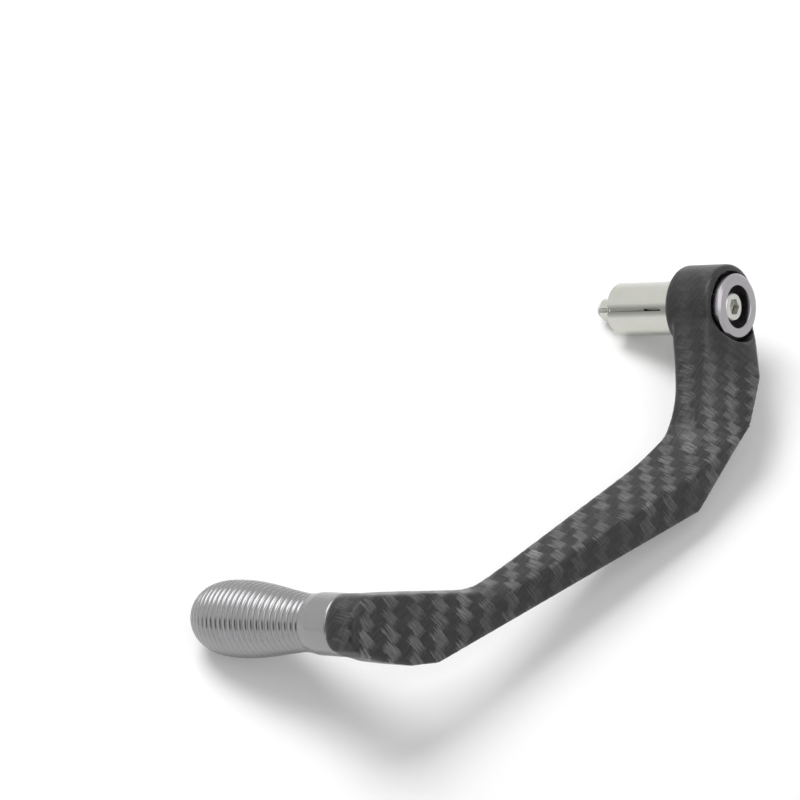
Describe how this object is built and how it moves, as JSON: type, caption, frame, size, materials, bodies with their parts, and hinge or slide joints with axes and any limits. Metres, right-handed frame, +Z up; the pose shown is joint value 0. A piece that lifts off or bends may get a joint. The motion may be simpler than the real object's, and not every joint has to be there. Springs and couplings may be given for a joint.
{
  "type": "brake lever guard",
  "caption": "Motorbike brake lever guard: a curved carbon-look arm from a bar-end boss with an expanding plug to a ribbed turned end knob.",
  "frame": {"origin": "on the handlebar axis, where the plug leaves the inboard face of the arm's boss", "axes": "+X outboard along the handlebar, the arm reaches forward along -Y, +Z is up with the arm's bow hanging down"},
  "size_m": [0.1049, 0.184, 0.0482],
  "materials": {
    "carbon_print": "dark grey woven print under gloss lacquer",
    "black_rubber": "plain black",
    "ring_chrome": "polished grey",
    "bright_steel": "bright plated",
    "bright_nickel": "bright nickel",
    "grey_anodised": "satin grey, turned ribs"
  },
  "bodies": {
    "plug": {"expander_sleeve": "bright_nickel"},
    "arm": {"guard_arm": "carbon_print", "seat_washer": "black_rubber", "end_ring": "ring_chrome", "end_knob": "grey_anodised", "knob_stud": "bright_steel"},
    "screw": {"clamp_screw": "bright_steel"},
    "wedge": {"wedge_nut": "bright_nickel"}
  },
  "joints": [
    {"name": "arm_swivel", "type": "hinge", "parent": "plug", "child": "arm", "pos_m": [0, 0, 0], "axis": [1, 0, 0], "continuous": true},
    {"name": "screw_turn", "type": "hinge", "parent": "plug", "child": "screw", "pos_m": [0, 0, 0], "axis": [-1, 0, 0], "range_deg": [0, 720]},
    {"name": "wedge_slide", "type": "slide", "parent": "plug", "child": "wedge", "axis": [1, 0, 0], "range_m": [0, 0.00161]}
  ],
  "couplings": [
    {"joint": "wedge_slide", "follows": "screw_turn", "m_per_rad": 0.00012732}
  ]
}
